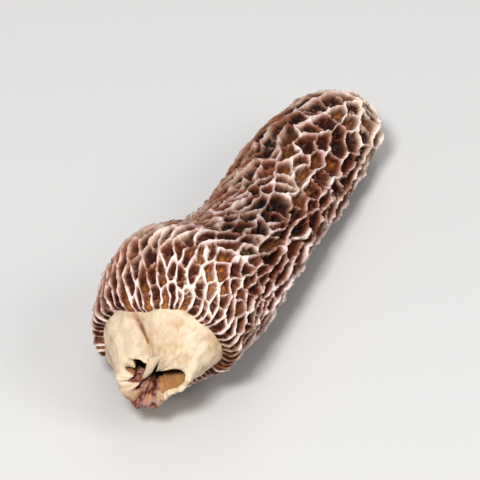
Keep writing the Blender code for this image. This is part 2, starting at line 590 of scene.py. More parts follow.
    def read(self, points: Array, outline: ProfileLine) -> NetReading:
        """Reads the net at places on the straight body's surface.

        For the cell that a place is in and each cell near it, the distance to their border is the place's
        distance from the plane half-way between the two seeds. A ridge stands on each border. Its section is
        1 / (1 + (distance / half width)^section power), it is highest where it runs lengthwise, and the net's
        height is the ridges' norm of the join power, so that they run into each other.

        Args:
            points: Rows of (across, up, axial).
            outline: The cap's outline, for the seeds.

        Returns:
            The net's height from 0 to about 1, the distance to the nearest ridge, the unit way across it, and
            a number from 0 to 1 that belongs to the cell.
        """
        seeds = self.shrunk(self.seeds(outline))
        warped = self.warped(points)
        places = self.shrunk(warped)
        shrink = read_table(self.shrink, warped[:, 2])
        half_width = read_table(self.half_width, points[:, 2]) * self.width_noise.at(points)
        parts = np.array_split(np.arange(len(points)), max(1, len(points) // self.block))
        blocks = [self._read_block(places[part], shrink[part], half_width[part], seeds) for part in parts]
        return NetReading(*map(np.concatenate, zip(*blocks)))

    def _read_block(self, places: Array, shrink: Array, half_width: Array, seeds: Array) -> tuple[Array, ...]:
        """Reads the net at some of the places. See read for the formula.

        Args:
            places: Rows of shrunk coordinates.
            shrink: The shrink at each place.
            half_width: The ridges' half width at each place.
            seeds: The seeds, in shrunk coordinates.

        Returns:
            The height, the distance, the way across and the cell's number, as in NetReading.
        """
        squared = ((places[:, None, :] - seeds[None, :, :]) ** 2).sum(axis=2)
        near = np.argpartition(squared, self.neighbours, axis=1)[:, : self.neighbours]
        order = np.argsort(np.take_along_axis(squared, near, axis=1), axis=1)
        near = np.take_along_axis(near, order, axis=1)
        own, other = seeds[near[:, :1]], seeds[near[:, 1:]]
        way = other - own
        way /= np.linalg.norm(way, axis=2, keepdims=True)
        gap = ((0.5 * (own + other) - places[:, None, :]) * way).sum(axis=2)
        true_way = way * np.stack([np.ones_like(shrink), np.ones_like(shrink), shrink], axis=1)[:, None, :]
        stretch = np.linalg.norm(true_way, axis=2)
        gap = np.maximum(gap / stretch, 0.0)
        true_way /= stretch[:, :, None]

        low, high = np.minimum(near[:, :1], near[:, 1:]), np.maximum(near[:, :1], near[:, 1:])
        chance = scattered(low * self.pair_key[0] + high * self.pair_key[1])
        lengthwise = 1.0 - true_way[:, :, 2] ** 2
        tall, short = (most - spread * chance for most, spread in (self.lengthwise_crest, self.rung_crest))
        crest = tall * lengthwise + short * (1.0 - lengthwise)
        section = crest / (1.0 + (gap / half_width[:, None]) ** self.section_power)
        height = (section**self.join_power).sum(axis=1) ** (1 / self.join_power)

        nearest = gap.argmin(axis=1)[:, None]
        distance = np.take_along_axis(gap, nearest, axis=1)[:, 0]
        across = np.take_along_axis(true_way, nearest[:, :, None], axis=1)[:, 0]
        return height, distance, across, scattered(near[:, 0] * self.cell_key)


# --- The dried body ---


@dataclass(frozen=True)
class Swelling:
    """A swelling of the outside, or a dent where it is negative: a height along the spine times a bell."""

    side: Bell
    height: Table

    def at(self, places: Places) -> Array:
        """Reads the swelling."""
        return read_table(self.height, places.axial) * self.side.at(places.angle)


@dataclass(frozen=True)
class Body:
    """The outline and the spine, and how drying has drawn the body out of round and torn its edges.

    The stem's lobes are each a number of lobes round it, the first one's middle, and their height.
    """

    outline: Outline = Outline()
    spine: Spine = Spine()

    lobes: tuple[Triple, ...] = ((2, -10.0, 0.08), (3, 40.0, 0.05))
    crease: Bell = Bell(68.0, 22.0, 0.26)
    folds_end_at: float = 13.0
    folds_fade: float = 1.3

    swellings: tuple[Swelling, ...] = (
        Swelling(Bell(22.0, 55.0), (
            (0, 0.0), (4, 0.2), (7, -0.1), (10, 0.5), (14, 1.2), (17, 1.3), (19, 0.2), (22, -0.6), (28, 0.1),
            (33, 0.6), (38, 1.0), (45, 1.1), (50, 0.6), (54, 0.2), (58, 0.0),
        )),
        Swelling(Bell(228.0, 36.0), (
            (0, -0.2), (3, -0.6), (6, -1.1), (11, -1.0), (15, -0.4), (19, 0.0), (58, 0.0),
        )),
        Swelling(Bell(218.0, 34.0), ((0, -0.8), (2, -0.6), (5, -0.1), (8, 0.0), (58, 0.0))),
    )
    swells_fully_from: float = 3.0

    margin: Hump = Hump(6.0, 2.2)
    margin_rags: tuple[Noise, ...] = (Noise(5, 1 / 2.6, 0.65), Noise(6, 1 / 7.0, 0.38))
    margin_tongues: tuple[Bell, ...] = (Bell(99.0, 13.0, 0.45), Bell(138.0, 18.0, -0.35))

    cut: Hump = Hump(0.0, 1.3)
    cut_rags: tuple[Noise, ...] = (Noise(71, 1 / 3.4, 0.35), Noise(72, 1 / 9.0, 0.14))
    browned: Bell = Bell(284.0, 40.0, 1.25)
    browned_along: Hump = Hump(0.0, 1.1)
    browning: Noise = Noise(75, 1 / 3.5, 0.4, layers=2)
    browning_length: float = 3.0

    def fold(self, places: Places) -> Array:
        """How the stem is drawn in or out: two cosine lobes less one crease, fading into the cap.

        Args:
            places: The places.

        Returns:
            The factor on the radius.
        """
        fade = np.clip(1.0 - places.axial / self.folds_end_at, 0.0, 1.0) ** self.folds_fade
        lobes = sum(high * np.cos(n * (places.angle - math.radians(at))) for n, at, high in self.lobes)
        return 1.0 + fade * (lobes - self.crease.at(places.angle))

    def swelling(self, places: Places) -> Array:
        """How far the outside stands out: the sum of the swellings, less where the radius is small."""
        total = sum(swelling.at(places) for swelling in self.swellings)
        return total * np.clip(places.radius / self.swells_fully_from, 0.0, 1.0)

    def dried(self, places: Places, standing: Array | float = 0.0) -> Places:
        """Draws the outside out of round.

        Args:
            places: The places.
            standing: How far each stands out once the folds have drawn it in or out.

        Returns:
            The folded and swollen places.
        """
        places = places.scaled(self.fold(places)).widened(standing)
        return places.widened(self.swelling(places))

    def margin_shift(self, places: Places) -> Array:
        """How far the cap's ragged lower edge moves along: noise and two bells, which fade away from it."""
        ragged = summed(self.margin_rags, places.ring()) + summed(self.margin_tongues, places.angle)
        return ragged * self.margin.at(places.axial)

    def cut_ragged(self, places: Places) -> Array:
        """How far the torn edge of the cut moves along: noise round it, gone about 2 mm into the stem."""
        return summed(self.cut_rags, places.ring()) * self.cut.at(places.axial)

    def cut_stain(self, places: Places) -> Array:
        """How browned the skin is round the cut: a bell at its lower left and noise, fading further in.

        Args:
            places: The places.

        Returns:
            The stain, from 0 to 1.
        """
        ragged = self.browning.at(places.ring(self.browning_length))
        near = self.browned_along.at(np.maximum(places.axial, 0.0))
        return np.clip((self.browned.at(places.angle) + ragged) * near, 0.0, 1.0)


FINISH_NUMBERS = ("relief", "cell", "stain", "wear_and_painted_light", "painted_shade")
# The middle of a number that runs from 0 to 1.
MIDDLE = 0.5


@dataclass(frozen=True)
class Skin:
    """Points of one stretch of the skin, ring after ring, with what the finish needs to know about each.

    The numbers run from 0 to 1. The relief is how far a point stands out of the pits or wrinkles round it,
    the cell is the number of its pit, and the stain is how far it has browned or reddened, with painted
    shade added to it low on the cap's left and along the stem's crease. Another says how pale the cap has
    worn and how near the hollow's mouth a point is, where the hollow is painted lighter, with painted shade
    further in. The last is painted shade: how far a point is darkened to stand in for shade.
    """

    region: Region
    stretch: Stretch
    points: Array
    relief: Array
    cell: Array
    stain: Array
    wear_and_painted_light: Array
    painted_shade: Array

    def numbers(self) -> dict[str, Array]:
        """The finish's numbers by name, one for each point."""
        region = np.full(len(self.points), float(self.region))
        return {"region": region, **{name: getattr(self, name) for name in FINISH_NUMBERS}}


# --- The cap ---


@dataclass(frozen=True)
class RustySpot:
    """A spot on the cap whose pits are rust-coloured: where its middle is, and its reach."""

    axial: float
    angle: float
    reach: float

    def at(self, points: Array) -> Array:
        """How near the middle each point is: a hump along the body times one of the way round it.

        Args:
            points: Rows of (across, up, axial).

        Returns:
            The nearness, from 0 to 1.
        """
        turn = np.arctan2(points[:, 1], points[:, 0]) - math.radians(self.angle)
        sideways = np.hypot(points[:, 0], points[:, 1]) * ((turn + math.pi) % TURN - math.pi)
        return Hump(self.axial, self.reach).at(points[:, 2]) * Hump(0.0, self.reach).at(sideways)


@dataclass(frozen=True)
class CapAgeing:
    """Where the cap has reddened, worn pale and rusted, and where shade is painted on it."""

    red_side: Bell = Bell(28.0, 42.0)
    red_stretch: Band = Band(24.0, 33.0, 50.0, 58.0)
    # Painted shade at the left, from the foot up: a weaker red-brown tint, most on the crests.
    red_painted_shade_side: Bell = Bell(32.0, 34.0, 0.55)
    red_painted_shade_stretch: Slope = Slope(6.0, 10.0)
    red_clouds: Noise = Noise(54, 3.0, 0.5, level=0.9)

    worn_tip: Slope = Slope(45.0, 56.0)
    worn_clouds: Noise = Noise(55, 3.6, 0.6, level=0.45)
    worn_patches: Noise = Noise(56, 5.0)
    worn_patch_edge: Slope = Slope(0.15, 0.6, 0.0, 0.35)

    # Painted shade: darker all over the finger, more at its left and its waist, and at the foot's right.
    upper: Slope = Slope(14.0, 24.0)
    upper_painted_shade: float = 0.48
    left_painted_shade: Bell = Bell(34.0, 42.0, 0.60)
    waist: Band = Band(13.0, 18.0, 26.0, 34.0)
    waist_painted_shade: Bell = Bell(80.0, 55.0, 0.6)
    foot_painted_shade: Bell = Bell(190.0, 46.0, 0.5)

    rusty_spots: tuple[RustySpot, ...] = (
        RustySpot(12.2, 112.0, 2.4), RustySpot(10.5, 128.0, 1.6), RustySpot(34.0, 132.0, 1.6),
        RustySpot(41.8, 127.0, 2.2), RustySpot(43.5, 84.0, 1.8), RustySpot(36.5, 104.0, 1.4),
        RustySpot(30.0, 250.0, 2.5), RustySpot(16.0, 320.0, 2.5),
    )
    rust_strength: float = 0.8

    def blush(self, places: Places) -> Array:
        """How far the finger's flank has dried smooth and red: a bell round it times a band along it."""
        return self.red_side.at(places.angle) * self.red_stretch.at(places.axial)

    def stain(self, blush: Array, places: Places, points: Array) -> Array:
        """How red the skin is: the blush, or a weaker bell that reaches lower, which is painted shade, times
        clouds.

        Args:
            blush: The flank's blush.
            places: The finished places.
            points: The same places before they sank, where the clouds are read.

        Returns:
            The stain, from 0 to 1.
        """
        low = self.red_painted_shade_side.at(places.angle) * self.red_painted_shade_stretch.at(places.axial)
        return np.clip(np.maximum(blush, low) * self.red_clouds.at(points), 0.0, 1.0)

    def wear_and_painted_light(self, places: Places, points: Array) -> Array:
        """How pale the skin has worn: all of the tip, clouded, and patches elsewhere."""
        tip = self.worn_tip.at(places.axial) * self.worn_clouds.at(points)
        return np.clip(tip + self.worn_patch_edge.at(self.worn_patches.at(points)), 0.0, 1.0)

    def painted_shade(self, places: Places) -> Array:
        """The painted shade: darker all over the finger, more at its left and waist, and at the foot's right.

        Args:
            places: The finished places.

        Returns:
            The painted shade, from 0 to 1.
        """
        upper = self.upper.at(places.axial)
        left = self.left_painted_shade.at(places.angle)
        waist = self.waist.at(places.axial) * self.waist_painted_shade.at(places.angle)
        foot = (1.0 - upper) * self.foot_painted_shade.at(places.angle)
        return np.clip(self.upper_painted_shade * upper + left + waist + foot, 0.0, 1.0)

    def cell(self, number: Array, points: Array) -> Array:
        """The pits' numbers, raised to the rusty end of their range in the rusty spots."""
        return np.clip(number + self.rust_strength * summed(self.rusty_spots, points), 0.0, 1.0)


@dataclass(frozen=True)
class Cap:
    """The cap: pits sunk into the body between the ridges of the net."""

    body: Body
    net: RidgeNet = RidgeNet()
    ageing: CapAgeing = CapAgeing()
    stretches: tuple[Stretch, ...] = (Stretch(0.0, 40.0, 186, 280), Stretch(40.0, math.inf, 76, 400))

    pit_depth: Table = (
        (5.0, 0.7), (7.0, 1.15), (12.0, 1.4), (20.0, 1.6), (28.0, 1.95), (46.0, 2.0), (53.0, 1.65),
        (58.0, 1.0),
    )
    pit_edge: Slope = Slope(0.0, 1.6)
    pits_differ: float = 0.7
    shallower_where_red: float = 0.52

    crest_noise: Noise = Noise(41, 2.0, 0.42, layers=3, level=1.0)
    highest_crest: float = 1.22
    floor: tuple[Readable, ...] = (
        Wrinkles(Noise(43, (1.4, 1.4, 0.85), layers=2), 5, 0.66), Noise(44, 1.6, 0.12),
    )
    lumps: tuple[Noise, ...] = (Noise(47, 6.5, 0.32, level=-0.16), Noise(48, 3.0, 0.16))
    lumps_edge: Slope = Slope(0.0, 4.0)

    sway_round: Noise = Noise(51, 2.2, 0.30, layers=2)
    sway_along: Noise = Noise(52, 2.0, 0.26, layers=2)
    sway_edge: Slope = Slope(0.3, 2.5)
    sway_tip: Slope = Slope(0.0, 3.0)
    sways_fully_from: float = 1.0

    pull: float = 0.42
    pull_reach: Hump = Hump(0.0, 0.42)
    pull_edge: Slope = Slope(0.4, 2.0)
    pull_tip: Slope = Slope(0.8, 3.0)
    pulls_fully_from: float = 0.5
    nearest_tip: float = 0.02

    def skin(self, stretch: Stretch) -> Skin:
        """A stretch of the cap, which runs from its tip to where it meets the stem.

        A grid of rings and steps is first drawn towards the ridges, so that their thin crests have enough
        points. Each point then sinks from the outline, square to it, by its pit's depth times what the relief
        leaves of it, less the lumps, and the crests are pushed to and fro sideways. The folds, the swellings
        and the ragged edge come last.

        Args:
            stretch: Where it starts and ends, and how fine it is.

        Returns:
            The stretch's points, without those of the ring that it starts from.
        """
        outline = ProfileLine(self.body.outline.cap)
        along, angle = self._drawn_to_ridges(*stretch.grid(outline), outline)
        places, lean_axial, lean_radius = outline.read(along, angle)
        points = places.points()
        reading = self.net.read(points, outline)
        from_edge = outline.length - along

        crest = np.clip(reading.height * self.crest_noise.at(points), 0.0, self.highest_crest)
        pit = 1.0 - np.clip(crest, 0.0, 1.0)
        relief = crest + pit * summed(self.floor, points)
        blush = self.ageing.blush(places)
        depth = read_table(self.pit_depth, places.axial) * self.pit_edge.at(from_edge)
        depth = depth * (1.0 + self.pits_differ * pit * (reading.cell - MIDDLE))
        depth = depth * (1.0 - self.shallower_where_red * blush)
        sunk = depth * (1.0 - relief) - summed(self.lumps, points) * self.lumps_edge.at(from_edge)
        sway = np.clip(crest, 0.0, 1.0) ** 2 * self.sway_edge.at(from_edge) * self.sway_tip.at(along)
        turned = sway * self.sway_round.at(points) / np.maximum(places.radius, self.sways_fully_from)
        places = Places(
            axial=places.axial + sway * self.sway_along.at(points) - sunk * lean_radius,
            radius=places.radius + sunk * lean_axial,
            angle=angle + turned,
        )
        places = self.body.dried(places)
        places = replace(places, radius=np.maximum(places.radius, self.nearest_tip))
        places = places.moved(self.body.margin_shift(places))
        return Skin(
            region=Region.CAP,
            stretch=stretch,
            points=self.body.spine.lay(places),
            relief=np.clip(relief, 0.0, 1.0),
            cell=self.ageing.cell(reading.cell, points),
            stain=self.ageing.stain(blush, places, points),
            wear_and_painted_light=self.ageing.wear_and_painted_light(places, points),
            painted_shade=self.ageing.painted_shade(places),
        )

    def _drawn_to_ridges(self, along: Array, angle: Array, outline: ProfileLine) -> tuple[Array, Array]:
        """Draws the grid's points towards the nearest ridge, by pull d e^(-(d / reach)^2) at a distance d.

        Args:
            along: Distances along the outline from the tip.
            angle: Angles from the left side over the top.
            outline: The cap's outline.

        Returns:
            The drawn distances and angles.
        """
        places, slope_axial, slope_radius = outline.read(along, angle)
        reading = self.net.read(places.points(), outline)
        pull = self.pull * reading.distance * self.pull_reach.at(reading.distance)
        pull *= self.pull_edge.at(outline.length - along) * self.pull_tip.at(along)
        across = reading.across
        outward = across[:, 0] * np.cos(angle) + across[:, 1] * np.sin(angle)
        sideways = across[:, 1] * np.cos(angle) - across[:, 0] * np.sin(angle)
        moved = along + pull * (across[:, 2] * slope_axial + outward * slope_radius)
        turned = angle + pull * sideways / np.maximum(places.radius, self.pulls_fully_from)
        return np.clip(moved, self.nearest_tip, outline.length), turned


# --- The stem and the hollow ---


@dataclass(frozen=True)
class Stem:
    """The stub of stem, with long wrinkles that run from the cap to the cut."""

    body: Body
    stretch: Stretch = Stretch(0.0, math.inf, 32, 200)

    grain_length: float = 9.0
    folds: tuple[Noise, ...] = (Noise(61, 1 / 2.4, 0.26), Noise(62, (1 / 6.0, 1 / 6.0, 1 / 5.0), 0.10))
    grain: tuple[Readable, ...] = (Wrinkles(Noise(63, 1 / 5.0), 8, -0.10), Noise(64, 1 / 22.0, 0.03))
    relief_edge: Slope = Slope(6.1, 4.9)

    crease_slews: Slope = Slope(0.0, 5.5, 0.0, 27.0)
    crease_ends: Slope = Slope(6.4, 4.6)
    groove: Bell = Bell(84.0, 12.0, 0.65)
    slit: Bell = Bell(84.0, 4.0)
    slit_depth: Slope = Slope(2.6, 5.2, 0.3, 0.8)

    # Painted shade along the crease: a brown line in the fold, stronger towards the cap, in clouds.
    painted_crease_shade: Bell = Bell(84.0, 5.0)
    painted_crease_shade_clouds: Noise = Noise(65, 1 / 4.0, 0.5, level=0.6)
    painted_crease_shade_strength: Slope = Slope(2.6, 5.2, 0.5, 1.2)
    browned_corner: Bell = Bell(168.0, 13.0, 0.4)
    browned_corner_along: Slope = Slope(2.0, 4.8)
    # Painted shade: the stem's left side greyed and darkened, in clouds.
    grey_painted_shade_side: Bell = Bell(48.0, 34.0, 0.8)
    grey_painted_shade_clouds: Noise = Noise(66, 1 / 4.5, 0.6, level=0.75)

    def skin(self) -> Skin:
        """The stem, with the relief of its folds and its grain, and a groove and a slit along its crease.

        Returns:
            The stretch's points, without those of the ring that it starts from.
        """
        places = self.stretch.places(ProfileLine(self.body.outline.stem))
        ring = places.ring(self.grain_length)
        folds = summed(self.folds, ring)
        relief = folds + summed(self.grain, ring)
        groove = self._crease_line(places, self.groove)
        slit = self.slit_depth.at(places.axial) * self._crease_line(places, self.slit)
        standing = (relief - groove - slit) * self.relief_edge.at(places.axial)
        # The brown line along the crease is painted shade in the fold; it is added to the stain.
        painted_crease_shade = self.painted_crease_shade_strength.at(places.axial) * self.painted_crease_shade_clouds.at(ring)
        places = self.body.dried(places, standing)
        places = places.moved(self.body.margin_shift(places) + self.body.cut_ragged(places))
        painted_crease_shade = painted_crease_shade * self._crease_line(places, self.painted_crease_shade)
        corner = self.browned_corner.at(places.angle) * self.browned_corner_along.at(places.axial)
        # Painted shade on the stem's left side.
        grey = self.grey_painted_shade_side.at(places.angle) * self.grey_painted_shade_clouds.at(ring)
        return Skin(
            region=Region.STEM,
            stretch=self.stretch,
            points=self.body.spine.lay(places),
            relief=MIDDLE + relief,
            cell=MIDDLE + folds,
            stain=np.clip(self.body.cut_stain(places) + painted_crease_shade + corner, 0.0, 1.0),
            wear_and_painted_light=np.zeros_like(grey),
            painted_shade=np.clip(grey, 0.0, 1.0),
        )

    def _crease_line(self, places: Places, bell: Bell) -> Array:
        """Reads a bell across the stem's crease, which slews as it nears the cut."""
        angle = places.angle + np.radians(self.crease_slews.at(places.axial))
        return bell.at(angle) * self.crease_ends.at(places.axial)


@dataclass(frozen=True)
class MouthFolds:
    """How the wall folds inwards at the mouth.

    The wall right of the crease rolls in until a slot is left below it, with a ledge inside the slot. A thin
    flap hangs from the crease across the mouth, pushed sideways, with a slit beside it. Bells at the left and
    below make curled remnants.
    """

    fullness: float = 1.4
    share_along: Hump = Hump(0.0, 2.9)
    rolled: Band = Band(66.0, 88.0, 128.0, 164.0)
    rolls_in: float = 0.90
    rolls_along: float = 0.9
    slit: Bell = Bell(102.0, 6.0, 0.62)
    curls: tuple[Bell, ...] = (
        Bell(252.0, 9.0, 0.40), Bell(277.0, 8.0, 0.34), Bell(303.0, 12.0, 0.56), Bell(333.0, 10.0, 0.46),
        Bell(2.0, 10.0, 0.36), Bell(30.0, 9.0, 0.34),
    )
    curls_along: Hump = Hump(0.6, 1.7)
    ledges: tuple[Bell, ...] = (Bell(222.0, 42.0, 0.58), Bell(288.0, 26.0, 0.50), Bell(340.0, 26.0, 0.50))
    ledges_along: Hump = Hump(2.3, 1.4)
    flap: Bell = Bell(84.0, 9.0)
    flap_pushed: Triple = (1.3, -1.2, -0.2)

    def folded(self, places: Places, inner: Array) -> Places:
        """Folds the wall, by bells and a band round the mouth that fade further in.

        Args:
            places: Places on the wall.
            inner: How far each is on its way from the stem's edge to the hollow, from 0 to 1.

        Returns:
            The folded places.
        """
        angle = places.angle
        inside = np.maximum(places.axial, 0.0)
        share = inner**self.fullness * self.share_along.at(inside)
        rolled = self.rolls_in * self.rolled.at(np.degrees(angle) % 360.0) * (1.0 - self.slit.at(angle))
        curled = inner**self.fullness * self.curls_along.at(inside) * summed(self.curls, angle)
        ledge = self.ledges_along.at(inside) * summed(self.ledges, angle)
        drawn_in = places.radius * (1.0 - share * rolled - curled - ledge)
        flap = share * self.flap.at(angle)
        to_side, upwards, inwards = self.flap_pushed
        across = drawn_in * np.cos(angle) + to_side * flap
        up = drawn_in * np.sin(angle) + upwards * flap
        moved = places.axial + self.rolls_along * inner * share * rolled + inwards * flap
        return Places(moved, np.hypot(across, up), np.arctan2(up, across))


@dataclass(frozen=True)
class Inside:
    """The cut face, a narrow band between the stem's edge and the mouth, and the wall of the hollow."""

    body: Body
    folds: MouthFolds = MouthFolds()

    rim_stretch: Stretch = Stretch(0.0, math.inf, 8, 200)
    rim_thickness: float = 4.0
    rim_grain: Noise = Noise(73, 1 / 9.0, 0.10)

    hollow_stretches: tuple[Stretch, ...] = (Stretch(0.0, 7.0, 20, 200), Stretch(7.0, 57.0, 18, 60))
    wrinkle_length: float = 14.0
    wrinkles: Noise = Noise(81, (1 / 4.0, 1 / 4.0, 1 / 3.0), 0.09, layers=2)
    wrinkles_along: Slope = Slope(0.0, 2.0)
    stain_reaches: float = 0.5
    pockets: tuple[Bell, ...] = (Bell(312.0, 48.0), Bell(25.0, 18.0, 0.7))
    pockets_along: Hump = Hump(1.6, 1.9)
    pocket_clouds: Noise = Noise(83, 1 / 5.0, 0.5, level=0.8)
    daylight_reach: float = 2.5

    def rim(self) -> Skin:
        """The cut face.

        Returns:
            The stretch's points, without those of the ring that it starts from.
        """
        line = ProfileLine(self.body.outline.rim)
        along, angle = self.rim_stretch.grid(line)
        places = line.read(along, angle)[0]
        relief = self.rim_grain.at(ring_places(angle, places.radius / self.rim_thickness))
        stain = self.body.cut_stain(places)
        ragged = self.body.cut_ragged(places) + relief
        places = self.folds.folded(self.body.dried(places), along / line.length).moved(ragged)
        return self._skin(Region.RIM, self.rim_stretch, places, relief, stain, np.zeros_like(stain))

    def hollow(self, stretch: Stretch) -> Skin:
        """A stretch of the hollow's wall with long soft wrinkles: painted light at the mouth, painted shade
        further in.

        Args:
            stretch: Where it starts and ends, and how fine it is.

        Returns:
            The stretch's points, without those of the ring that it starts from.
        """
        places = stretch.places(ProfileLine(self.body.outline.hollow))
        ring = places.ring(self.wrinkle_length)
        relief = self.wrinkles.at(ring)
        pocket = summed(self.pockets, places.angle) * self.pockets_along.at(places.axial)
        pocket = pocket * self.pocket_clouds.at(ring)
        nearer = replace(places, axial=self.stain_reaches * places.axial)
        stain = np.clip(self.body.cut_stain(nearer) + pocket, 0.0, 1.0)
        # Nearness to the mouth: painted lighter there, with painted shade further in.
        near = np.exp(-np.maximum(places.axial, 0.0) / self.daylight_reach)
        ragged = self.body.cut_ragged(places)
        wrinkled = 1.0 + relief * self.wrinkles_along.at(places.axial)
        places = places.scaled(self.body.fold(places)).scaled(wrinkled)
        places = places.widened(np.minimum(self.body.swelling(places), 0.0))
        places = self.folds.folded(places, np.ones_like(relief)).moved(ragged)
        return self._skin(Region.HOLLOW, stretch, places, relief, stain, near)

    def _skin(
        self, region: Region, stretch: Stretch, places: Places, relief: Array, stain: Array, wear_and_painted_light: Array
    ) -> Skin:
        """Lays a stretch of the inside on the spine. It has no cells, and its painted shade number is 0.

        Args:
            region: What it is.
            stretch: Where it starts and ends, and how fine it is.
            places: Its places.
            relief: How far each stands out of the wrinkles, evenly round 0.
            stain: How far each has browned.
            wear_and_painted_light: How near the mouth each is: painted lighter there, with painted shade
                further in.

        Returns:
            The stretch's points.
        """
        laid, even = self.body.spine.lay(places), MIDDLE + relief
        return Skin(region, stretch, laid, even, even, stain, wear_and_painted_light, np.zeros_like(wear_and_painted_light))


@dataclass(frozen=True)
class Pole:
    """A point on the spine that closes the skin at one of its ends, with its numbers for the finish."""

    axial: float
    region: Region
    relief: float = MIDDLE
    cell: float = MIDDLE
    stain: float = 0.0
    wear_and_painted_light: float = 0.0
    painted_shade: float = 0.0


@dataclass(frozen=True)
class Morel:
    """The whole dried mushroom as one closed skin."""

    body: Body = Body()
    tip: Pole = Pole(57.7, Region.CAP, wear_and_painted_light=0.5, painted_shade=0.5)
    end: Pole = Pole(54.5, Region.HOLLOW)

    def build(self) -> bpy.types.Object:
        """Joins the stretches and the two poles into one closed mesh object.

        Returns:
            The mushroom, with the finish's numbers on every point.
        """
        cap, stem, inside = Cap(self.body), Stem(self.body), Inside(self.body)
        outer = [*map(cap.skin, cap.stretches), stem.skin()]
        skins = [*outer, inside.rim(), *map(inside.hollow, inside.hollow_stretches)]
        poles = Places(np.array([self.tip.axial, self.end.axial]), np.zeros(2), np.zeros(2))
        first, last = self.body.spine.lay(poles)
        points = np.vstack([first, *(skin.points for skin in skins), last])
        numbers = [vars(self.tip), *(skin.numbers() for skin in skins), vars(self.end)]
        values = {
            name: np.hstack([np.asarray(each[name], float) for each in numbers])
            for name in ("region", *FINISH_NUMBERS)
        }
        return mesh_object("dried_morel", points, self._faces(skins), values)

    def _faces(self, skins: list[Skin]) -> list[Indices]:
        """The faces: a fan at the tip, bands over each stretch, seams between them, and a fan at the end.

        Args:
            skins: The stretches, in order.

        Returns:
            Blocks of faces, each with its own number of corners.
        """
        starts = np.cumsum([1] + [len(skin.points) for skin in skins])
        faces = [fan(0, 1, skins[0].stretch.around)]
        for k, skin in enumerate(skins):
            rings = starts[k] + np.arange(len(skin.points)).reshape(skin.stretch.rings, skin.stretch.around)
            faces.append(bands(rings))
            if k + 1 < len(skins):
                faces.append(seam(rings[-1], starts[k + 1] + np.arange(skins[k + 1].stretch.around)))
        last, around = starts[-1], skins[-1].stretch.around
        faces.append(fan(last, last - around, around)[:, ::-1])
        return faces


# --- Meshes ---

# How much sooner the upper ring's steps count as ended, in turns. Where two end together, its own goes first.
TIE = 1e-9


def fan(centre: int, first: int, count: int) -> Indices:
    """Triangles from a pole to the ring of count points that starts at first."""
    ring = first + np.arange(count)
    return np.column_stack([np.full(count, centre), ring, np.roll(ring, -1)])


def bands(rings: Indices) -> Indices:
    """Quads between each ring and the next: point k, the one below it, and their two neighbours.

    Args:
        rings: The point numbers, one row for each ring.

    Returns:
        One row of four point numbers for each quad.
    """
    above, below = rings[:-1], rings[1:]
    corners = (above, below, np.roll(below, -1, axis=1), np.roll(above, -1, axis=1))
    return np.stack(corners, axis=-1).reshape(-1, 4)


def seam(above: Indices, below: Indices) -> Indices:
    """Triangles between two rings that may have different numbers of points, zipped up by their angles.

    Each ring's steps end at even shares of a turn. In the order of those shares, each step makes one triangle
    with the point that the other ring has reached.

    Args:
        above: The upper ring's point numbers.
        below: The lower ring's point numbers.

    Returns:
        One row of three point numbers for each triangle.
    """
    m, n = len(above), len(below)
    ends = np.concatenate([(np.arange(m) + 1.0) / m - TIE, (np.arange(n) + 1.0) / n])
    is_above = np.concatenate([np.ones(m, bool), np.zeros(n, bool)])[np.argsort(ends)]
    i = np.cumsum(is_above) - is_above
    j = np.cumsum(~is_above) - ~is_above
    following = np.where(is_above, above[(i + 1) % m], below[(j + 1) % n])
    return np.column_stack([above[i % m], below[j % n], following])


def mesh_object(name: str, points: Array, faces: list[Indices], values: dict[str, Array]) -> bpy.types.Object:
    """Makes a smooth-shaded mesh object and gives its points their values.

    Args:
        name: The object's name.
        points: The points, in millimetres.
        faces: Blocks of faces, each with its own number of corners.
        values: Numbers for every point, by attribute name.

    Returns:
        The object, linked to the scene.
    """
    corners = np.concatenate([block.ravel() for block in faces])
    totals = np.concatenate([np.full(len(block), block.shape[1]) for block in faces])
    firsts = np.concatenate([[0], np.cumsum(totals)[:-1]])
    mesh = bpy.data.meshes.new(name)
    mesh.vertices.add(len(points))
    mesh.vertices.foreach_set("co", (points * MM).astype(np.float32).ravel())
    mesh.loops.add(len(corners))
    mesh.loops.foreach_set("vertex_index", corners.astype(np.int32))
    mesh.polygons.add(len(totals))
    mesh.polygons.foreach_set("loop_start", firsts.astype(np.int32))
    mesh.update(calc_edges=True)
    mesh.validate()
    mesh.shade_smooth()
    for key, numbers in values.items():
        attribute = mesh.attributes.new(key, "FLOAT", "POINT")
        attribute.data.foreach_set("value", numbers.astype(np.float32))
    piece = bpy.data.objects.new(name, mesh)
    bpy.context.scene.collection.objects.link(piece)
    return piece


# --- Finishes ---

Colour = Triple
Tones = tuple[tuple[float, Colour], ...]
Socket = bpy.types.NodeSocket
Feed = Socket | float | Colour

BLACK: Colour = (0.0, 0.0, 0.0)
WHITE: Colour = (1.0, 1.0, 1.0)


@dataclass(frozen=True)
class Grain:
    """Noise on a finish: its features' size, its finer layers, its twist, and its stretch along X, Y, Z."""

    size: float
    detail: float = 3.0
    twist: float = 0.0
    stretch: Triple = (1.0, 1.0, 1.0)


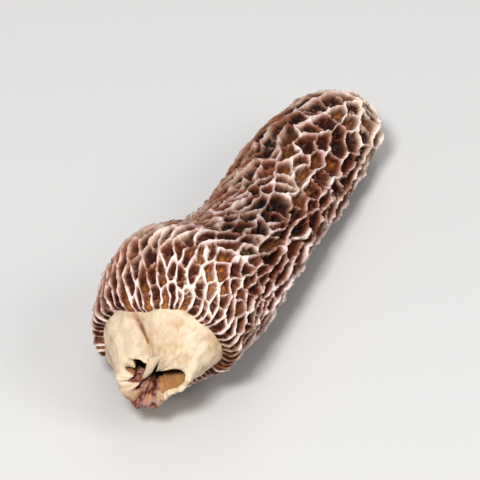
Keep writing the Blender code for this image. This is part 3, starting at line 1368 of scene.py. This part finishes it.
class NodeBench:
    """A short way to lay out the nodes of one material.

    A mix node's colour sockets go by their numbers, since other kinds of socket share their names.
    """

    MIX_FIRST = 6
    MIX_SECOND = 7
    MIX_RESULT = 2

    def __init__(self, name: str) -> None:
        """Makes a new material and finds its shader.

        Args:
            name: The material's name.
        """
        self.material = bpy.data.materials.new(name)
        self.material.use_nodes = True
        self.tree = self.material.node_tree
        self.shader = self.tree.nodes["Principled BSDF"]

    def add(self, kind: str, **settings: str) -> bpy.types.Node:
        """Adds a node of a kind and sets its properties.

        Args:
            kind: The node's type.
            **settings: Its properties by name.

        Returns:
            The node.
        """
        node = self.tree.nodes.new(kind)
        for key, value in settings.items():
            setattr(node, key, value)
        return node

    def feed(self, socket: Socket, value: Feed) -> None:
        """Links an output to an input, or sets the input to a number or a colour.

        Args:
            socket: The input.
            value: What it gets.
        """
        if isinstance(value, Socket):
            self.tree.links.new(value, socket)
        else:
            socket.default_value = (*value, 1.0) if isinstance(value, tuple) else value

    def number(self, name: str) -> Socket:
        """The points' own number of that name."""
        return self.add("ShaderNodeAttribute", attribute_name=name).outputs["Fac"]

    def noise(self, grain: Grain) -> Socket:
        """Noise on Object coordinates, from 0 to 1.

        Args:
            grain: Its size and kind.

        Returns:
            The noise's factor.
        """
        mapping = self.add("ShaderNodeMapping")
        mapping.inputs["Scale"].default_value = [1.0 / (grain.size * MM * k) for k in grain.stretch]
        self.feed(mapping.inputs["Vector"], self.add("ShaderNodeTexCoord").outputs["Object"])
        texture = self.add("ShaderNodeTexNoise")
        self.feed(texture.inputs["Vector"], mapping.outputs["Vector"])
        self.feed(texture.inputs["Scale"], 1.0)
        self.feed(texture.inputs["Detail"], grain.detail)
        self.feed(texture.inputs["Distortion"], grain.twist)
        return texture.outputs["Fac"]

    def swing(self, grain: Grain, strength: float) -> Socket:
        """Noise that swings evenly about 0: strength times the noise less a half."""
        return self.times(self.plus(self.noise(grain), -MIDDLE), strength)

    def plus(self, *terms: Feed) -> Socket:
        """The sum of numbers."""
        return functools.reduce(functools.partial(self._pair, "ADD"), terms)

    def times(self, *factors: Feed) -> Socket:
        """The product of numbers."""
        return functools.reduce(functools.partial(self._pair, "MULTIPLY"), factors)

    def _pair(self, operation: str, first: Feed, second: Feed) -> Socket:
        """The result of an operation on two numbers.

        Args:
            operation: The operation's name.
            first: The first number.
            second: The second number.

        Returns:
            The result.
        """
        node = self.add("ShaderNodeMath", operation=operation)
        self.feed(node.inputs[0], first)
        self.feed(node.inputs[1], second)
        return node.outputs[0]

    def slope(self, value: Feed, slope: Slope) -> Socket:
        """Reads a slope at a number.

        Args:
            value: The number.
            slope: The slope.

        Returns:
            Its height there.
        """
        node = self.add("ShaderNodeMapRange", interpolation_type="SMOOTHSTEP")
        ends = {"From Min": slope.foot, "From Max": slope.top, "To Min": slope.low, "To Max": slope.high}
        for name, number in {"Value": value, **ends}.items():
            self.feed(node.inputs[name], number)
        return node.outputs["Result"]

    def mix(self, share: Feed, first: Feed, second: Feed) -> Socket:
        """Mixes two colours.

        Args:
            share: How much of the second there is.
            first: The first colour.
            second: The second colour.

        Returns:
            The mixed colour.
        """
        node = self.add("ShaderNodeMix", data_type="RGBA")
        self.feed(node.inputs["Factor"], share)
        self.feed(node.inputs[self.MIX_FIRST], first)
        self.feed(node.inputs[self.MIX_SECOND], second)
        return node.outputs[self.MIX_RESULT]

    def tones(self, value: Feed, stops: Tones) -> Socket:
        """Reads a colour off a row of stops.

        Args:
            value: Where to read it, from 0 to 1.
            stops: The places and their colours.

        Returns:
            The colour.
        """
        node = self.add("ShaderNodeValToRGB")
        elements = node.color_ramp.elements
        while len(elements) < len(stops):
            elements.new(MIDDLE)
        for element, (place, colour) in zip(elements, stops):
            element.position = place
            element.color = (*colour, 1.0)
        self.feed(node.inputs["Fac"], value)
        return node.outputs["Color"]


@dataclass(frozen=True)
class CapColour:
    """The cap's colour: near-black pits, partly painted shade, brown flanks and pale crests, with rusty,
    reddened and worn places, and painted shade over the finger, at its left and waist and the foot's right.
    """

    # By relief, from pit floor to crest: the near-black low tones are partly painted shade in the pits.
    tones: Tones = (
        (0.0, (0.028, 0.004, 0.0010)),
        (0.42, (0.076, 0.015, 0.0040)),
        (0.68, (0.190, 0.062, 0.028)),
        (0.84, (0.45, 0.28, 0.23)),
        (0.98, (0.84, 0.675, 0.62)),
    )
    ochre: Colour = (0.58, 0.20, 0.034)
    blush: Colour = (0.44, 0.165, 0.075)
    worn: Colour = (0.88, 0.72, 0.55)

    mottle: Grain = Grain(1.6, 4.0, 0.4)
    mottle_strength: float = 0.55
    clouds: Grain = Grain(6.0, 1.0)
    clouds_strength: float = 0.35
    pits_differ: Slope = Slope(0.1, 0.7, 0.42, 0.0)
    paler_where_worn: float = 0.16
    paler_outside_painted_shade: Slope = Slope(0.0, 0.25, 0.06, 0.0)
    deeper_in_painted_shade: Slope = Slope(0.3, 0.9, 0.3, 0.08)

    rust: Grain = Grain(2.2, 3.0, 0.5)
    rust_patches: Slope = Slope(1.12, 1.34, 0.0, 0.9)
    rust_in_pits: Slope = Slope(0.15, 0.60, 1.0, 0.0)
    crests: Slope = Slope(0.35, 0.85)
    blush_up_crests: Slope = Slope(0.0, 1.0, 0.15, 0.55)
    worn_strength: float = 0.8
    painted_shade_in_pits: Slope = Slope(0.30, 0.80, 0.85, 0.08)
    painted_shade_all_over: Slope = Slope(0.45, 1.0, 0.0, 0.24)

    def lay(self, bench: NodeBench) -> Socket:
        """Lays out the colour's nodes.

        Args:
            bench: The material's bench.

        Returns:
            The colour.
        """
        relief, cell, stain, wear_and_painted_light, painted_shade = map(bench.number, FINISH_NUMBERS)
        spotted = bench.plus(
            bench.swing(self.mottle, self.mottle_strength),
            bench.swing(self.clouds, self.clouds_strength),
            bench.times(bench.plus(cell, -MIDDLE), bench.slope(relief, self.pits_differ)),
        )
        # Tones paler where worn, a little paler outside the painted shade, and lower in the pits under
        # painted shade.
        shaded = bench.plus(
            bench.times(wear_and_painted_light, self.paler_where_worn),
            bench.slope(painted_shade, self.paler_outside_painted_shade),
            bench.times(painted_shade, bench.slope(relief, self.deeper_in_painted_shade), -1.0),
        )
        cap = bench.tones(bench.plus(relief, spotted, shaded), self.tones)

        rusty = bench.slope(bench.plus(cell, bench.noise(self.rust)), self.rust_patches)
        cap = bench.mix(bench.times(rusty, bench.slope(relief, self.rust_in_pits)), cap, self.ochre)
        crests = bench.slope(relief, self.crests)
        cap = bench.mix(bench.times(stain, bench.slope(crests, self.blush_up_crests)), cap, self.blush)
        cap = bench.mix(bench.times(wear_and_painted_light, crests, self.worn_strength), cap, self.worn)
        # Painted shade: mixed towards black, most in the pits.
        black = bench.times(painted_shade, bench.slope(relief, self.painted_shade_in_pits))
        return bench.mix(bench.plus(black, bench.slope(painted_shade, self.painted_shade_all_over)), cap, BLACK)


@dataclass(frozen=True)
class CutStain:
    """The stain round the cut: patches of near black, dusky red, purplish grey and rust."""

    grain: Grain = Grain(0.9, 3.0, 0.8)
    tones: Tones = (
        (0.36, (0.05, 0.016, 0.012)),
        (0.48, (0.26, 0.075, 0.035)),
        (0.56, (0.30, 0.20, 0.20)),
        (0.66, (0.52, 0.22, 0.09)),
    )

    def lay(self, bench: NodeBench) -> Socket:
        """Lays out the colour's nodes."""
        return bench.tones(bench.noise(self.grain), self.tones)


@dataclass(frozen=True)
class StemColour:
    """The stem's colour: mottled cream, with painted shade in grey at the left and in brown along the
    crease, and stained at the cut.
    """

    tones: Tones = (
        (0.24, (0.34, 0.20, 0.10)),
        (0.46, (0.54, 0.38, 0.235)),
        (0.60, (0.68, 0.53, 0.365)),
        (0.80, (0.80, 0.67, 0.51)),
    )
    # The grey is mixed in as painted shade on the left side.
    grey: Colour = (0.46, 0.37, 0.29)
    brown: Colour = (0.30, 0.13, 0.06)
    grain: Grain = Grain(1.3, 5.0, 0.8, (1.5, 1.0, 1.0))
    grain_strength: float = 0.62
    relief_strength: float = 0.55
    grey_painted_shade_strength: float = 0.55
    # Browned by the stain round the cut, and along the crease by painted shade.
    browned: Slope = Slope(0.05, 0.60, 0.0, 0.55)
    stained: Slope = Slope(0.55, 0.9)
    stain: CutStain = CutStain()

    def lay(self, bench: NodeBench) -> Socket:
        """Lays out the colour's nodes.

        Args:
            bench: The material's bench.

        Returns:
            The colour.
        """
        relief, stain, painted_shade = map(bench.number, ("relief", "stain", "painted_shade"))
        grain = bench.times(bench.noise(self.grain), self.grain_strength)
        # Tones rise with relief, so folds and wrinkles read darker: partly painted shade in the creases, over
        # mottled cream.
        stem = bench.tones(bench.plus(bench.times(relief, self.relief_strength), grain), self.tones)
        # Painted shade: greyer at the left.
        stem = bench.mix(bench.times(painted_shade, self.grey_painted_shade_strength), stem, self.grey)
        # Brown where stained, and along the crease where shade is painted.
        stem = bench.mix(bench.slope(stain, self.browned), stem, self.brown)
        return bench.mix(bench.slope(stain, self.stained), stem, self.stain.lay(bench))


@dataclass(frozen=True)
class HollowColour:
    """The hollow's colour: orange-brown near the mouth, with painted shade further in, and stained at the
    lower left.
    """

    mouth: Colour = (0.66, 0.32, 0.11)
    deep_painted_shade: Colour = (0.10, 0.040, 0.018)
    grain: Grain = Grain(1.8, 4.0, 0.5)
    near_mouth: Slope = Slope(0.0, 0.5)
    stained: Slope = Slope(0.15, 0.6)
    stain: CutStain = CutStain()

    def lay(self, bench: NodeBench) -> Socket:
        """Lays out the colour's nodes.

        Args:
            bench: The material's bench.

        Returns:
            The colour.
        """
        tan = bench.mix(bench.noise(self.grain), self.deep_painted_shade, self.mouth)
        # Painted light near the mouth, painted shade further in.
        hollow = bench.mix(bench.slope(bench.number("wear_and_painted_light"), self.near_mouth), self.deep_painted_shade, tan)
        return bench.mix(bench.slope(bench.number("stain"), self.stained), hollow, self.stain.lay(bench))


@dataclass(frozen=True)
class DriedFlesh:
    """The flesh, dull and finely pitted all over, with its own colour on the cap, the stem and the hollow."""

    cap: CapColour = CapColour()
    stem: StemColour = StemColour()
    hollow: HollowColour = HollowColour()
    cap_to_stem: Slope = Slope(0.35, 0.75)
    stem_to_hollow: Slope = Slope(2.1, 2.8)
    dullness_grain: Grain = Grain(0.7)
    dullness: Slope = Slope(0.3, 0.7, 0.55, 0.85)
    gloss: float = 0.16
    pore_grain: Grain = Grain(0.55, 4.0, 0.8)
    pore_strength: float = 0.6
    pore_depth: float = 0.14 * MM

    def make(self) -> bpy.types.Material:
        """Lays out the material.

        Returns:
            The material, named for what it is.
        """
        bench = NodeBench("dried_flesh")
        region = bench.number("region")
        colour = bench.mix(bench.slope(region, self.cap_to_stem), self.cap.lay(bench), self.stem.lay(bench))
        colour = bench.mix(bench.slope(region, self.stem_to_hollow), colour, self.hollow.lay(bench))
        pores = bench.add("ShaderNodeBump")
        bench.feed(pores.inputs["Strength"], self.pore_strength)
        bench.feed(pores.inputs["Distance"], self.pore_depth)
        bench.feed(pores.inputs["Height"], bench.noise(self.pore_grain))
        dullness = bench.slope(bench.noise(self.dullness_grain), self.dullness)
        bench.feed(bench.shader.inputs["Base Color"], colour)
        bench.feed(bench.shader.inputs["Roughness"], dullness)
        bench.feed(bench.shader.inputs["Specular IOR Level"], self.gloss)
        bench.feed(bench.shader.inputs["Normal"], pores.outputs["Normal"])
        return bench.material


@dataclass(frozen=True)
class PaleFloor:
    """A plain, pale, slightly glossy table top."""

    colour: Colour = (0.57, 0.56, 0.55)
    roughness: float = 0.42

    def make(self) -> bpy.types.Material:
        """Lays out the material.

        Returns:
            The material, named for what it is.
        """
        bench = NodeBench("pale_floor")
        bench.feed(bench.shader.inputs["Base Color"], self.colour)
        bench.feed(bench.shader.inputs["Roughness"], self.roughness)
        return bench.material


# --- The studio ---


@dataclass(frozen=True)
class Stand:
    """Where a light or the camera stands: its azimuth and elevation in degrees, and its distance in metres.

    Azimuth 0 looks along +Y, as on the part's own views.
    """

    azimuth: float
    elevation: float
    distance: float

    def way(self) -> Vector:
        """The unit way to it from the mushroom."""
        a, e = math.radians(self.azimuth), math.radians(self.elevation)
        return Vector((math.sin(a) * math.cos(e), -math.cos(a) * math.cos(e), math.sin(e)))


@dataclass(frozen=True)
class SoftLight:
    """A square soft light of that name, with its stand, its side in metres and its power in watts."""

    name: str
    stand: Stand
    side: float
    watts: float


@dataclass(frozen=True)
class Studio:
    """The floor, the lights and the camera."""

    aim: Triple = (0.0, 0.0, 0.006)
    camera: Stand = Stand(-64.0, 42.0, 0.62)
    field: float = 0.057
    sensor: float = 36.0
    nearest: float = 0.01
    floor_reach: float = 3.0
    daylight: float = 0.20
    lights: tuple[SoftLight, ...] = (
        SoftLight("key_light", Stand(-84.0, 56.0, 0.6), 0.13, 3.65),
        SoftLight("back_light", Stand(110.0, 48.0, 0.6), 0.36, 0.4),
        SoftLight("side_light", Stand(5.0, 42.0, 0.6), 0.30, 1.2),
        SoftLight("top_light", Stand(0.0, 88.0, 0.7), 0.4, 0.8),
    )

    def build(self) -> None:
        """Makes the floor, the lights, the daylight and the camera."""
        self._floor()
        for light in self.lights:
            lamp = bpy.data.lights.new(light.name, "AREA")
            lamp.shape = "SQUARE"
            lamp.size = light.side
            lamp.energy = light.watts
            lamp.color = WHITE
            self._place(lamp, light.name, light.stand)
            LOG.info("%s: %.2f W", light.name, light.watts)
        self._daylight()
        self._camera()

    def _floor(self) -> None:
        """Makes the floor, one large square."""
        far = self.floor_reach
        mesh = bpy.data.meshes.new("floor")
        mesh.from_pydata([(-far, -far, 0), (far, -far, 0), (far, far, 0), (-far, far, 0)], [], [(0, 1, 2, 3)])
        mesh.materials.append(PaleFloor().make())
        floor = bpy.data.objects.new("floor", mesh)
        bpy.context.scene.collection.objects.link(floor)

    def _daylight(self) -> None:
        """Makes an even white light from all round, and shows colours as they are."""
        world = bpy.data.worlds.new("daylight")
        world.use_nodes = True
        background = world.node_tree.nodes["Background"]
        background.inputs["Color"].default_value = (*WHITE, 1.0)
        background.inputs["Strength"].default_value = self.daylight
        bpy.context.scene.world = world
        bpy.context.scene.view_settings.view_transform = "Standard"

    def _camera(self) -> None:
        """Makes the camera, with a lens that shows the field at the camera's distance."""
        camera = bpy.data.cameras.new("camera")
        camera.sensor_width = self.sensor
        camera.lens = self.sensor * self.camera.distance / self.field
        camera.clip_start = self.nearest
        bpy.context.scene.camera = self._place(camera, "camera", self.camera)

    def _place(self, data: bpy.types.ID, name: str, stand: Stand) -> bpy.types.Object:
        """Puts a light or a camera on its stand, looking at the aim.

        Args:
            data: The light or the camera.
            name: The object's name.
            stand: Where it stands.

        Returns:
            The object, linked to the scene.
        """
        thing = bpy.data.objects.new(name, data)
        thing.location = Vector(self.aim) + stand.way() * stand.distance
        thing.rotation_euler = stand.way().to_track_quat("Z", "Y").to_euler()
        bpy.context.scene.collection.objects.link(thing)
        return thing


def main() -> None:
    """Builds the mushroom and the studio round it."""
    logging.basicConfig(level=logging.INFO, format="%(message)s")
    Studio().build()
    morel = Morel().build()
    morel.data.materials.append(DriedFlesh().make())
    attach(morel, "root")
    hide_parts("morel")
    LOG.info("%s: %d points, %d faces", morel.name, len(morel.data.vertices), len(morel.data.polygons))


if __name__ == "__main__":
    main()
